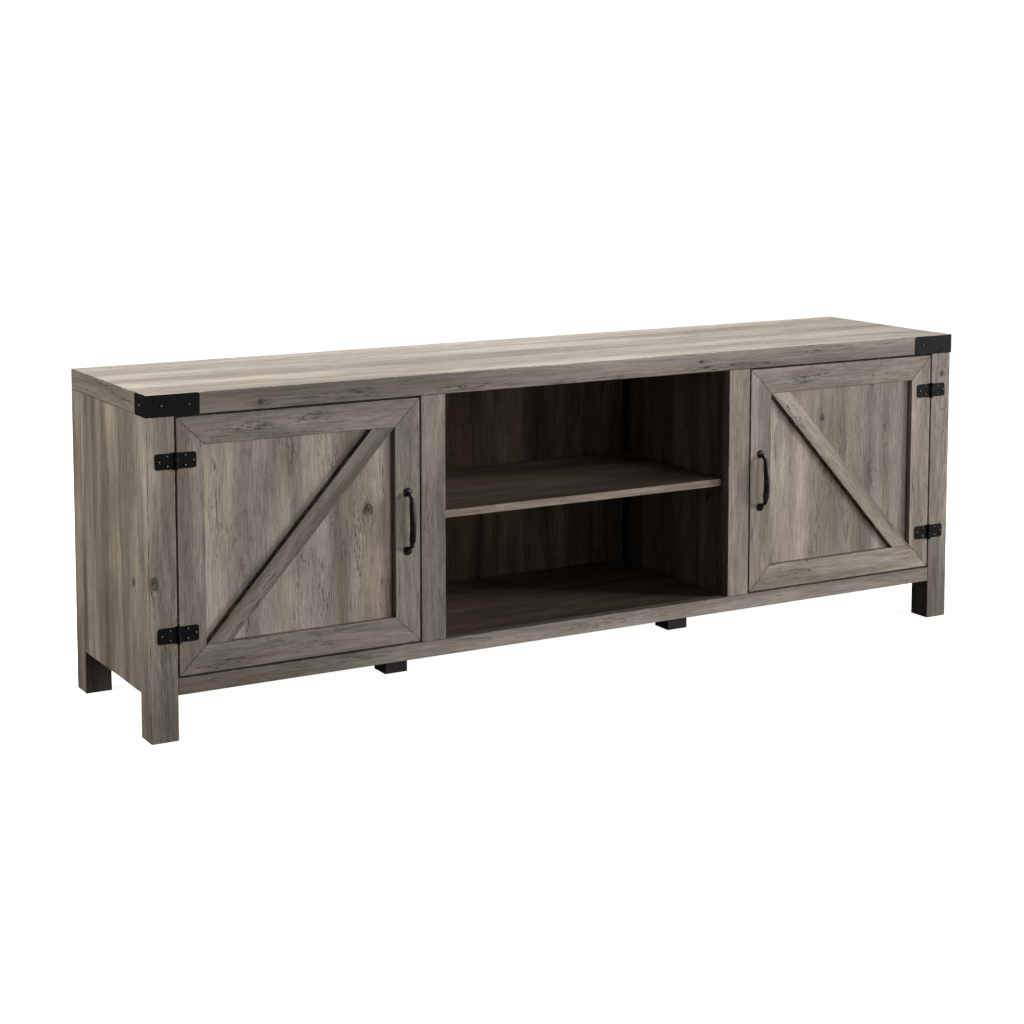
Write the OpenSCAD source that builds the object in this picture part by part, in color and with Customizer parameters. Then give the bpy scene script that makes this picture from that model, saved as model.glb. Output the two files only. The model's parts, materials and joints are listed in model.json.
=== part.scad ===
// Long low media cabinet: two framed and braced doors on surface hinges either side of an open bay.
// Millimetres, +Z up, front towards -Y. The origin is on the floor under the middle of the overall box.

/* [Overall size] */
// Width of the top slab
overall_width = 1778; // [1500:1:2200]
// Depth of the top slab, front face to rear face
overall_depth = 400; // [330:1:500]
// Height of the top face above the floor
overall_height = 604; // [480:1:760]

/* [Boards] */
// Thickness of the top slab
slab_thick = 38; // [28:1:60]
// Thickness of the side panels, dividers and rear stretcher
board_thick = 18; // [16:1:25]
// Thickness of the floor board
floor_thick = 15; // [15:1:25]
// Thickness of the shelves
shelf_thick = 15; // [12:1:25]
// Thickness of the back panels
back_thick = 5; // [3:0.5:8]
// How far the back panels' rear face is set in from the rear
back_inset = 7; // [4:0.5:15]

/* [Legs and front frame] */
// Leg size along the width
leg_width = 50; // [40:1:80]
// Leg size along the depth
leg_depth = 50; // [40:1:80]
// Clear height under the bottom rail
floor_gap = 80; // [50:1:150]
// Height of the bottom rail
rail_height = 30; // [26:1:60]
// Thickness of the rail, the face stiles and the door frames
face_thick = 20; // [19:0.5:28]
// Width of each face stile beside the open bay
stile_width = 50; // [44:1:80]
// Clear width of the open bay
bay_width = 636; // [400:1:900]
// Height of the stretcher under the slab at the rear
stretcher_height = 60; // [40:1:90]
// Rebate in the rear legs that takes the back panels' ends
rebate = 10; // [8:0.5:16]
// Cable gap between each divider and the back panel
cable_gap = 39; // [25:1:60]

/* [Middle feet] */
// Side of the square middle feet
foot_size = 48; // [30:1:70]
// How far the middle feet stand behind mid-depth
foot_offset = 12; // [-40:1:60]

/* [Shelves and pins] */
// Height of the shelves' underside above the floor board
shelf_level = 221; // [140:1:260]
// Clearance at each end of a shelf
shelf_clear = 1; // [0.5:0.5:3]
// Radius of the shelf pins
pin_r = 2.5; // [2:0.5:4]
// Reach of a shelf pin into its hole
pin_in = 7; // [5:0.5:8]
// Reach of a shelf pin under the shelf
pin_out = 9; // [6:0.5:14]
// Pitch of the spare pin holes above and below each cabinet shelf
pin_pitch = 32; // [20:1:50]

/* [Doors] */
// Gap all round each door
door_gap = 3; // [2:0.5:6]
// Width of the mitred frame boards
frame_width = 50; // [40:1:80]
// Depth of the panel's face behind the frame's face, which is the brace's thickness
panel_recess = 11; // [6:0.5:12]
// Thickness of the door panel
panel_thick = 5; // [4:0.5:6]
// Depth of the groove that holds the panel
groove_depth = 7; // [5:0.5:12]
// Clearance of the panel in its groove, each way
groove_clear = 0.1; // [0.05:0.05:0.3]
// Width of the brace's cut end along the rail
brace_cut = 46; // [30:1:60]

/* [Handles] */
// Distance between the feet of a handle
handle_span = 108; // [80:1:160]
// How far a handle stands out from the door
handle_out = 28; // [24:1:45]
// Radius of the grip
grip_r = 6; // [4:0.5:8]
// Length of the bowed grip between its tapers
grip_length = 62; // [40:1:80]
// Rise of the grip's bow
grip_bow = 3; // [1:0.5:8]
// Length of the taper at each end of the grip
grip_taper = 12; // [6:1:16]
// Radius of the necks
neck_r = 3.2; // [2.5:0.1:5]
// Radius of the round feet
button_r = 8; // [6:0.5:12]
// Radius of the handle screws' shanks
bolt_r = 2; // [1.5:0.25:2.5]

/* [Hinges] */
// Length of a leaf from the pin to its end
leaf_length = 37; // [30:1:45]
// Height of a leaf
leaf_height = 28; // [22:1:45]
// Thickness of a leaf
leaf_thick = 1.5; // [1:0.1:2.5]
// Height of the barrel
barrel_height = 30; // [24:1:50]
// Outer radius of the knuckles
knuckle_r = 3.2; // [2.6:0.1:5]
// Radius of the hinge pin
hinge_pin_r = 1.6; // [1.2:0.1:2]
// Running clearance round the hinge pin
pin_clear = 0.05; // [0.02:0.01:0.1]
// Height of each hinge's middle from the door's end
hinge_inset = 74; // [40:1:140]

/* [Corner brackets] */
// Length of the front arm
bracket_front = 96; // [70:1:140]
// Length of the side arm
bracket_side = 52; // [40:1:90]
// Thickness of the plate
bracket_thick = 1.5; // [1:0.1:3]

/* [Screws] */
// Radius of the wood screws' domed heads
head_r = 3.4; // [2.5:0.1:5]
// Height of the wood screws' domed heads
head_h = 1.9; // [1:0.1:2.5]
// Radius of the wood screws' shanks
shank_r = 1.5; // [1:0.1:2]
// Length of the wood screws' shanks
shank_length = 15; // [10:1:20]

/* [Hidden] */
$fn = 32;
eps = 0.01;

oak = "#8c8478";
oak_top = "#a59c8e";
oak_dark = "#5d564c";
black_iron = "#1d1b1a";
zinc = "#b4b6b8";
beech = "#cdb38c";
brown_black = "#15110f";

// Carcass planes. The handles stand out in front, so the carcass sits behind the middle of the box.
front_y = (handle_out - overall_depth) / 2;
rear_y = front_y + overall_depth;
mid_y = (front_y + rear_y) / 2;
half_w = overall_width / 2;
slab_z = overall_height - slab_thick;
rail_top = floor_gap + rail_height;
floor_under = rail_top - floor_thick;
leg_x = half_w - leg_width;
side_x = half_w - board_thick;
face_back = front_y + face_thick;
leg_back = front_y + leg_depth;
rear_leg_front = rear_y - leg_depth;
back_face = rear_y - back_inset - back_thick;
back_rear = back_face + back_thick;
bay_x = bay_width / 2;
stile_x = bay_x + stile_width;
divider_x = bay_x + board_thick;
divider_rear = back_face - cable_gap;
stretcher_z = slab_z - stretcher_height;
shelf_z = rail_top + shelf_level;

// Left door, inset in the face: its frame, the inner edge of the frame and the panel's groove.
door_x0 = -leg_x + door_gap;
door_x1 = -stile_x - door_gap;
door_z0 = rail_top + door_gap;
door_z1 = slab_z - door_gap;
inner_x0 = door_x0 + frame_width;
inner_x1 = door_x1 - frame_width;
inner_z0 = door_z0 + frame_width;
inner_z1 = door_z1 - frame_width;
panel_y = front_y + panel_recess;
panel_edge_clear = 0.5;

// Hinge line, in the middle of the gap beside the leg, its barrel just clear of the faces.
barrel_lift = 0.2;
hinge_x = -leg_x + door_gap / 2;
hinge_y = front_y - knuckle_r - barrel_lift;
hinge_z = [door_z1 - hinge_inset, door_z0 + hinge_inset];
leaf_screws = [[16, 8.5], [16, -8.5], [leaf_length - 6, 0]];
leaf_corner_r = 5;
leaf_pin_side = 0.6;
knuckle_gap = 0.3;
knuckle_share = 0.34;
pin_head_r = 2.5;
pin_head_h = 0.8;

handle_x = door_x1 - frame_width / 2;
handle_z = (door_z0 + door_z1) / 2;
button_flat = 2;
button_dome = 2.5;
bolt_clear = 0.25;
bolt_thread_clear = 0.05;
bolt_grip = 3.5;
bolt_head_r = 4;
bolt_head_h = 2.2;

bracket_screw_x = [26, 76];
bracket_screw_y = 26;
bracket_corner_r = 4;
screw_clear = 0.2;
pilot_clear = 0.1;
pilot_spare = 1;

// Magnetic catches under the slab, and the steel discs that meet them.
catch_x = door_x1 - 26;
catch_width = 22;
catch_ears = 46;
catch_ear_thick = 3;
catch_depth = 14;
catch_drop = 17;
catch_screw_x = 17;
strike_r = 7;
strike_thick = 1.5;
strike_spike_r = 1.5;
strike_spike = 12;
strike_inset = 8;
catch_gap = 0.35;
catch_y = face_back + strike_thick + catch_gap;

// Shelf pins and their holes.
pin_hole_clear = 0.1;
pin_hole_spare = 1;
pin_collar_r = 4;
pin_collar = 1;
bay_pin_y = [face_back + 60, divider_rear - 40];
cabinet_pin_y = [leg_back + 45, divider_rear - 75];

// Dowels: place, direction along the dowel, and its reach each way from the joint.
dowel_r = 4;
dowel_clear = 0.1;
dowel_spare = 1;
dowel_reach = 15;
dowel_short = 9;
leg_mid_x = half_w - leg_width / 2;
side_mid_x = half_w - board_thick / 2;
left_dowels = [
  [[-leg_mid_x, front_y + leg_depth / 2, slab_z], [0, 0, 1], dowel_reach, dowel_reach],
  [[-leg_mid_x, back_face - leg_depth / 4, slab_z], [0, 0, 1], dowel_reach, dowel_reach],
  [[-side_mid_x, leg_back, slab_z - 60], [0, 1, 0], dowel_reach, dowel_reach],
  [[-side_mid_x, leg_back, floor_gap + 90], [0, 1, 0], dowel_reach, dowel_reach],
  [[-side_mid_x, rear_leg_front, slab_z - 60], [0, 1, 0], dowel_reach, dowel_reach],
  [[-side_mid_x, rear_leg_front, floor_gap + 90], [0, 1, 0], dowel_reach, dowel_reach],
  [[-leg_x, front_y + face_thick / 2, floor_gap + rail_height / 2], [1, 0, 0],
    dowel_reach, dowel_reach],
  [[-leg_x, back_face - board_thick / 2, slab_z - stretcher_height / 2], [1, 0, 0],
    dowel_reach, dowel_reach],
  [[-bay_x - stile_width / 2, front_y + face_thick / 2, slab_z], [0, 0, 1],
    dowel_reach, dowel_reach],
  [[-bay_x - stile_width / 2, front_y + face_thick / 2, rail_top], [0, 0, 1],
    dowel_reach, dowel_reach],
  [[-bay_x - board_thick / 2, face_back + 35, rail_top], [0, 0, 1], dowel_short, dowel_reach],
  [[-bay_x - board_thick / 2, divider_rear - 35, rail_top], [0, 0, 1], dowel_short, dowel_reach],
  [[-bay_x - board_thick / 2, mid_y + foot_offset, floor_under], [0, 0, 1],
    dowel_reach, dowel_short]];

// Cam fittings: centre of the cam's drum, the way the drum faces, and the way its bolt runs.
cam_r = 7.5;
cam_h = 12;
cam_clear = 0.1;
cam_spare = 0.5;
cam_set = 34;
cam_bolt_r = 3;
cam_bolt_clear = 0.25;
cam_bolt_in = 11;
cam_bolt_spare = 1;
cam_eye_clear = 0.5;
cam_key = [1.6, 9, 3.5];
// A drum reaches past the bolt that it grips, whatever the board's thickness.
function cam_depth(thick) = max(cam_h, thick / 2 + cam_bolt_r);
left_cams = [
  [[-side_x, leg_back + 40, slab_z - cam_set], [1, 0, 0], [0, 0, 1], board_thick],
  [[-side_x, rear_leg_front - 40, slab_z - cam_set], [1, 0, 0], [0, 0, 1], board_thick],
  [[-divider_x, face_back + 50, slab_z - cam_set], [-1, 0, 0], [0, 0, 1], board_thick],
  [[-divider_x, divider_rear - 50, slab_z - cam_set], [-1, 0, 0], [0, 0, 1], board_thick],
  [[-side_x + cam_set, leg_back + 70, floor_under], [0, 0, -1], [-1, 0, 0], floor_thick],
  [[-side_x + cam_set, rear_leg_front - 70, floor_under], [0, 0, -1], [-1, 0, 0], floor_thick]];

// Back panels: joint lines behind the dividers, cable ports and nails.
joint_x = bay_x + board_thick / 2;
joiner_web = 2;
joiner_flange = 16;
joiner_skin = 1;
port_length = 80;
port_height = 40;
port_z = rail_top + 110;
port_x = (leg_x + joint_x) / 2;
nail_r = 0.8;
nail_clear = 0.1;
nail_length = 14;
nail_head_r = 2.2;
nail_head_h = 0.6;
nail_end = 25;
function spread(a, b, n) = [for (i = [0:n - 1]) a + (b - a) * i / (n - 1)];
nail_rows_z = [floor_under + floor_thick / 2, slab_z - 20];
nail_end_z = spread(rail_top + 70, stretcher_z - 30, 3);
nail_end_x = leg_x + rebate / 2;
centre_nail_x = spread(nail_end - joint_x, joint_x - nail_end, 5);
left_nail_x = spread(nail_end - leg_x, -joint_x - nail_end, 4);

// A board between two corners.
module board(low, high) {
  translate(low) cube(high - low);
}

// A copy on the right-hand side of what is drawn on the left.
module mirrored(is_right) {
  if (is_right)
    mirror([1, 0, 0]) children();
  else
    children();
}

// Turns what stands on +Z to run along a direction on one of the axes.
module along(way) {
  if (way[2] < 0)
    rotate([180, 0, 0]) children();
  else
    rotate([-90 * way[1], 90 * way[0], 0]) children();
}

// A low dome on a flat base.
module dome(r, h) {
  ball = (r * r + h * h) / (2 * h);
  intersection() {
    translate([0, 0, h - ball]) sphere(ball);
    cylinder(r = r, h = h);
  }
}

// A wood screw standing on a plate: the head is on +Z and the shank runs to -Z.
module wood_screw() {
  dome(head_r, head_h);
  translate([0, 0, -shank_length]) cylinder(r = shank_r, h = shank_length + eps);
  translate([0, 0, -shank_length - 2]) cylinder(r1 = 0.4, r2 = shank_r, h = 2);
}

// The hole that a wood screw is driven into, from the wood's face.
module pilot_hole() {
  translate([0, 0, -shank_length - 2 - pilot_spare])
    cylinder(r = shank_r + pilot_clear, h = shank_length + 2 + pilot_spare + eps);
}

module place_leaf_screws(is_door) {
  for (z = hinge_z)
    for (s = leaf_screws)
      translate([hinge_x + (is_door ? s[0] : -s[0]), front_y, z + s[1]])
        rotate([90, 0, 0]) children();
}

module place_bracket_screws() {
  screw_z = (slab_z + overall_height) / 2;
  for (x = bracket_screw_x)
    translate([x - half_w, front_y, screw_z]) rotate([90, 0, 0]) children();
  translate([-half_w, front_y + bracket_screw_y, screw_z]) rotate([0, -90, 0]) children();
}

module place_catch_screws() {
  for (x = [-catch_screw_x, catch_screw_x])
    translate([catch_x + x, catch_y + catch_depth / 2, slab_z]) rotate([180, 0, 0]) children();
}

// Dowel holes of the left half, or the dowels themselves.
module left_dowel_shapes(clear, spare) {
  for (d = left_dowels)
    translate(d[0]) along(d[1]) translate([0, 0, -d[2] - spare])
      cylinder(r = dowel_r + clear, h = d[2] + d[3] + 2 * spare);
}

module dowel_holes() {
  left_dowel_shapes(dowel_clear, dowel_spare);
  mirror([1, 0, 0]) left_dowel_shapes(dowel_clear, dowel_spare);
}

// Bolt of a cam fitting, from the middle of the drum out through the joint.
module cam_bolt(clear, spare, back) {
  translate([0, 0, -back])
    cylinder(r = cam_bolt_r + clear, h = back + cam_set + cam_bolt_in + spare);
}

module left_cam_holes() {
  for (c = left_cams)
    translate(c[0]) {
      along(-c[1]) translate([0, 0, -eps])
        cylinder(r = cam_r + cam_clear, h = cam_depth(c[3]) + cam_spare + eps);
      translate(-c[1] * c[3] / 2) along(c[2]) cam_bolt(cam_bolt_clear, cam_bolt_spare, 0);
    }
}

module left_cams_and_bolts() {
  for (c = left_cams)
    translate(c[0]) {
      difference() {
        along(-c[1]) cylinder(r = cam_r, h = cam_depth(c[3]));
        translate(-c[1] * c[3] / 2) along(c[2]) cam_bolt(cam_eye_clear, 0, cam_bolt_r + cam_eye_clear);
        along(c[1]) cube([cam_key[0], cam_key[1], 2 * cam_key[2]], center = true);
      }
      translate(-c[1] * c[3] / 2) along(c[2]) cam_bolt(0, 0, cam_bolt_r);
    }
}

module cam_holes() {
  left_cam_holes();
  mirror([1, 0, 0]) left_cam_holes();
}

module nail_pattern() {
  for (z = nail_rows_z) {
    for (x = centre_nail_x)
      translate([x, back_rear, z]) rotate([-90, 0, 0]) children();
    for (x = left_nail_x)
      for (s = [-1, 1])
        translate([-s * x, back_rear, z]) rotate([-90, 0, 0]) children();
  }
  for (z = nail_end_z)
    for (s = [-1, 1])
      translate([s * nail_end_x, back_rear, z]) rotate([-90, 0, 0]) children();
}

module nail_holes() {
  nail_pattern() translate([0, 0, -nail_length - 1])
    cylinder(r = nail_r + nail_clear, h = nail_length + 1 + eps);
}

// Shelf pin holes. Each list entry is a face, the way into the wood, and the rows along the depth.
module pin_hole(x, way, y, z) {
  translate([x, y, z]) rotate([0, 90 * way, 0]) translate([0, 0, -eps])
    cylinder(r = pin_r + pin_hole_clear, h = pin_in + pin_hole_spare + eps);
}

module left_pin_holes() {
  for (y = bay_pin_y)
    pin_hole(-bay_x, -1, y, shelf_z - pin_r);
  for (y = cabinet_pin_y)
    for (k = [-1:1]) {
      pin_hole(-divider_x, 1, y, shelf_z - pin_r + k * pin_pitch);
      pin_hole(-side_x, -1, y, shelf_z - pin_r + k * pin_pitch);
    }
}

module shelf_pin(x, way, y) {
  translate([x, y, shelf_z - pin_r]) rotate([0, 90 * way, 0]) {
    translate([0, 0, -pin_in]) cylinder(r = pin_r, h = pin_in + pin_out);
    difference() {
      cylinder(r = pin_collar_r, h = pin_collar);
      translate([-way * (pin_collar_r + pin_r), 0, 0])
        cube([2 * pin_collar_r, 3 * pin_collar_r, 3 * pin_collar], center = true);
    }
  }
}

module left_shelf_pins() {
  for (y = bay_pin_y)
    shelf_pin(-bay_x, 1, y);
  for (y = cabinet_pin_y) {
    shelf_pin(-divider_x, -1, y);
    shelf_pin(-side_x, 1, y);
  }
}

// The top slab, with the holes in its underside and edges.
module top_slab() {
  color(oak_top) difference() {
    board([-half_w, front_y, slab_z], [half_w, rear_y, overall_height]);
    dowel_holes();
    cam_holes();
    for (s = [0, 1])
      mirror([s, 0, 0]) {
        place_bracket_screws() pilot_hole();
        place_catch_screws() pilot_hole();
      }
  }
}

module front_leg() {
  color(oak) difference() {
    board([-half_w, front_y, 0], [-leg_x, leg_back, slab_z]);
    dowel_holes();
    place_leaf_screws(false) pilot_hole();
  }
}

module rear_leg() {
  color(oak) difference() {
    board([-half_w, rear_leg_front, 0], [-leg_x, rear_y, slab_z]);
    board([-leg_x - rebate, back_face, floor_under], [-leg_x + 1, rear_y + 1, slab_z + 1]);
    dowel_holes();
    nail_holes();
  }
}

module side_panel() {
  color(oak) difference() {
    board([-half_w, leg_back, floor_gap], [-side_x, rear_leg_front, slab_z]);
    dowel_holes();
    left_cam_holes();
    left_pin_holes();
  }
}

module divider() {
  color(oak) difference() {
    board([-divider_x, face_back, rail_top], [-bay_x, divider_rear, slab_z]);
    dowel_holes();
    left_cam_holes();
    left_pin_holes();
  }
}

module centre_stile() {
  color(oak) difference() {
    board([-stile_x, front_y, rail_top], [-bay_x, face_back, slab_z]);
    dowel_holes();
  }
}

// One board from side to side, cut round the four legs.
module floor_board() {
  color(oak) difference() {
    union() {
      board([-leg_x, face_back, floor_under], [leg_x, back_face, rail_top]);
      board([-side_x, leg_back, floor_under], [side_x, rear_leg_front, rail_top]);
    }
    dowel_holes();
    cam_holes();
    nail_holes();
  }
}

module bottom_rail() {
  color(oak) difference() {
    board([-leg_x, front_y, floor_gap], [leg_x, face_back, rail_top]);
    dowel_holes();
  }
}

module rear_stretcher() {
  color(oak) difference() {
    board([-leg_x, back_face - board_thick, stretcher_z], [leg_x, back_face, slab_z]);
    dowel_holes();
    nail_holes();
  }
}

module back_panel_centre() {
  edge = joint_x - joiner_web / 2;
  color(oak_dark) difference() {
    board([-edge, back_face, floor_under], [edge, back_rear, slab_z]);
    nail_holes();
  }
}

// A back panel behind a door, with a round-ended port for cables.
module back_panel_side() {
  color(oak_dark) difference() {
    board([-leg_x - rebate + panel_edge_clear, back_face, floor_under],
      [-joint_x - joiner_web / 2, back_rear, slab_z]);
    cable_port();
    nail_holes();
  }
}

module cable_port() {
  straight = port_length - port_height;
  translate([-port_x, back_face - 1, port_z]) rotate([-90, 0, 0]) {
    for (s = [-1, 1])
      translate([s * straight / 2, 0, 0]) cylinder(r = port_height / 2, h = back_thick + 2);
    translate([-straight / 2, -port_height / 2, 0]) cube([straight, port_height, back_thick + 2]);
  }
}

// H-section strips that join the back panels edge to edge.
module back_joiner() {
  board([-joint_x - joiner_web / 2, back_face, floor_under],
    [-joint_x + joiner_web / 2, back_rear + eps, slab_z]);
  board([-joint_x - joiner_web / 2, back_face - eps, rail_top + joiner_skin],
    [-joint_x + joiner_web / 2, back_rear, stretcher_z - joiner_skin]);
  board([-joint_x - joiner_flange / 2, back_rear, floor_under],
    [-joint_x + joiner_flange / 2, back_rear + joiner_skin, slab_z]);
  board([-joint_x - joiner_flange / 2, back_face - joiner_skin, rail_top + joiner_skin],
    [-joint_x + joiner_flange / 2, back_face, stretcher_z - joiner_skin]);
}

module back_joiners() {
  color(black_iron) for (s = [0, 1]) mirror([s, 0, 0]) back_joiner();
}

module middle_foot() {
  x = -bay_x - board_thick / 2;
  y = mid_y + foot_offset;
  color(brown_black) difference() {
    board([x - foot_size / 2, y - foot_size / 2, 0], [x + foot_size / 2, y + foot_size / 2, floor_under]);
    dowel_holes();
  }
}

module centre_shelf() {
  color(oak) board([-bay_x + shelf_clear, face_back + shelf_clear, shelf_z],
    [bay_x - shelf_clear, back_face - shelf_clear, shelf_z + shelf_thick]);
}

module cabinet_shelf() {
  color(oak) board([-side_x + shelf_clear, leg_back + shelf_clear, shelf_z],
    [-divider_x - shelf_clear, rear_leg_front - shelf_clear, shelf_z + shelf_thick]);
}

module shelf_pins() {
  color(zinc) for (s = [0, 1]) mirror([s, 0, 0]) left_shelf_pins();
}

// Upright plate with its corners rounded at the end away from the fold. The fold is at x = 0.
module arm_outline(length, height, r) {
  square([length - r, height]);
  translate([0, r]) square([length, height - 2 * r]);
  for (y = [r, height - r]) translate([length - r, y]) circle(r);
}

// Folded steel plate round the slab's front corner.
module corner_bracket() {
  color(black_iron) difference() {
    union() {
      translate([-half_w - bracket_thick, front_y, slab_z]) rotate([90, 0, 0])
        linear_extrude(bracket_thick)
          arm_outline(bracket_front + bracket_thick, slab_thick, bracket_corner_r);
      translate([-half_w - bracket_thick, front_y - bracket_thick, slab_z]) rotate([90, 0, 90])
        linear_extrude(bracket_thick)
          arm_outline(bracket_side + bracket_thick, slab_thick, bracket_corner_r);
    }
    place_bracket_screws() translate([0, 0, -1])
      cylinder(r = shank_r + screw_clear, h = bracket_thick + 2);
  }
}

// Hinge leaf with its knuckles. The pin stands at the origin, and the leaf runs to +X behind it.
module leaf(has_middle) {
  pin_y = -knuckle_r - barrel_lift;
  middle = barrel_height * knuckle_share;
  difference() {
    union() {
      difference() {
        translate([leaf_pin_side, 0, -leaf_height / 2]) rotate([90, 0, 0]) linear_extrude(leaf_thick)
          arm_outline(leaf_length - leaf_pin_side, leaf_height, leaf_corner_r);
        for (k = [-1:1])
          if ((k == 0) != has_middle)
            knuckle_space(k, middle, pin_y);
      }
      for (k = [-1:1])
        if ((k == 0) == has_middle)
          knuckle(k, middle, pin_y);
    }
    translate([0, pin_y, -barrel_height]) cylinder(r = hinge_pin_r + pin_clear, h = 2 * barrel_height);
    for (s = leaf_screws)
      translate([s[0], -leaf_thick - 1, s[1]]) rotate([-90, 0, 0])
        cylinder(r = shank_r + screw_clear, h = leaf_thick + 2);
  }
}

module knuckle(k, middle, pin_y) {
  end = (barrel_height - middle) / 2 - knuckle_gap;
  span = k == 0 ? middle : end;
  low = k == 0 ? -middle / 2 : (k < 0 ? -barrel_height / 2 : barrel_height / 2 - end);
  translate([0, pin_y, low]) cylinder(r = knuckle_r, h = span);
}

// Room in the leaf for the other leaf's knuckle.
module knuckle_space(k, middle, pin_y) {
  half = middle / 2 + knuckle_gap;
  low = k == 0 ? -half : (k < 0 ? -barrel_height : middle / 2);
  high = k == 0 ? half : (k < 0 ? -middle / 2 : barrel_height);
  translate([-knuckle_r - knuckle_gap, pin_y - knuckle_r, low])
    cube([2 * (knuckle_r + knuckle_gap), 2 * knuckle_r + 2, high - low]);
}

module leg_leaf(k) {
  color(black_iron) translate([hinge_x, front_y, hinge_z[k]]) mirror([1, 0, 0]) leaf(false);
}

module door_leaf(k) {
  color(black_iron) translate([hinge_x, front_y, hinge_z[k]]) leaf(true);
}

module hinge_pins() {
  color(black_iron) for (s = [0, 1])
    mirror([s, 0, 0])
      for (z = hinge_z)
        translate([hinge_x, hinge_y, z]) {
          cylinder(r = hinge_pin_r, h = barrel_height + pin_head_h, center = true);
          for (e = [0, 1])
            mirror([0, 0, e]) translate([0, 0, barrel_height / 2]) cylinder(r = pin_head_r, h = pin_head_h);
        }
}

// Screws that hold the brackets, the leg leaves and the catches.
module wood_screws() {
  color(black_iron) for (s = [0, 1])
    mirror([s, 0, 0]) {
      place_bracket_screws() translate([0, 0, bracket_thick]) wood_screw();
      place_leaf_screws(false) translate([0, 0, leaf_thick]) wood_screw();
      place_catch_screws() translate([0, 0, catch_ear_thick]) wood_screw();
    }
}

module left_catch() {
  difference() {
    union() {
      board([catch_x - catch_width / 2, catch_y, slab_z - catch_drop],
        [catch_x + catch_width / 2, catch_y + catch_depth, slab_z]);
      board([catch_x - catch_ears / 2, catch_y, slab_z - catch_ear_thick],
        [catch_x + catch_ears / 2, catch_y + catch_depth, slab_z]);
    }
    place_catch_screws() translate([0, 0, -1])
      cylinder(r = shank_r + screw_clear, h = catch_ear_thick + 2);
  }
}

module door_catches() {
  color("#3a3a3c") for (s = [0, 1]) mirror([s, 0, 0]) left_catch();
}

module dowels() {
  color(beech) for (s = [0, 1]) mirror([s, 0, 0]) left_dowel_shapes(0, 0);
}

module cam_fittings() {
  color(zinc) for (s = [0, 1]) mirror([s, 0, 0]) left_cams_and_bolts();
}

module panel_nails() {
  color(zinc) nail_pattern() {
    translate([0, 0, -nail_length]) cylinder(r = nail_r, h = nail_length + eps);
    cylinder(r = nail_head_r, h = nail_head_h);
  }
}

// An outline drawn on the front view, as a board of the given depth behind the front plane.
module face_board(depth) {
  translate([0, front_y + depth, 0]) rotate([90, 0, 0]) linear_extrude(depth) children();
}

// The room that the four frame boards leave for the door panel.
module panel_groove() {
  board([inner_x0 - groove_depth, panel_y - groove_clear, inner_z0 - groove_depth],
    [inner_x1 + groove_depth, panel_y + panel_thick + groove_clear, inner_z1 + groove_depth]);
}

module hinge_stile() {
  color(oak) difference() {
    face_board(face_thick)
      polygon([[door_x0, door_z0], [inner_x0, inner_z0], [inner_x0, inner_z1], [door_x0, door_z1]]);
    panel_groove();
    place_leaf_screws(true) pilot_hole();
  }
}

module handle_stile() {
  color(oak) difference() {
    face_board(face_thick)
      polygon([[door_x1, door_z0], [door_x1, door_z1], [inner_x1, inner_z1], [inner_x1, inner_z0]]);
    panel_groove();
    handle_bolt_axes() translate([0, 0, -face_thick - 1])
      cylinder(r = bolt_r + bolt_clear, h = face_thick + 2);
    strike_hole();
  }
}

module top_rail() {
  color(oak) difference() {
    face_board(face_thick)
      polygon([[door_x0, door_z1], [inner_x0, inner_z1], [inner_x1, inner_z1], [door_x1, door_z1]]);
    panel_groove();
    strike_hole();
  }
}

module lower_rail() {
  color(oak) difference() {
    face_board(face_thick)
      polygon([[door_x0, door_z0], [door_x1, door_z0], [inner_x1, inner_z0], [inner_x0, inner_z0]]);
    panel_groove();
  }
}

module door_panel() {
  reach = groove_depth - panel_edge_clear;
  color(oak) board([inner_x0 - reach, panel_y, inner_z0 - reach],
    [inner_x1 + reach, panel_y + panel_thick, inner_z1 + reach]);
}

// Diagonal board from the lower corner at the hinges to the upper corner at the handle.
module brace() {
  color(oak) face_board(panel_recess)
    polygon([[inner_x0, inner_z0], [inner_x0 + brace_cut, inner_z0],
      [inner_x1, inner_z1], [inner_x1 - brace_cut, inner_z1]]);
}

module handle_bolt_axes() {
  for (s = [-1, 1])
    translate([handle_x, front_y, handle_z + s * handle_span / 2]) rotate([90, 0, 0]) children();
}

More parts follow.
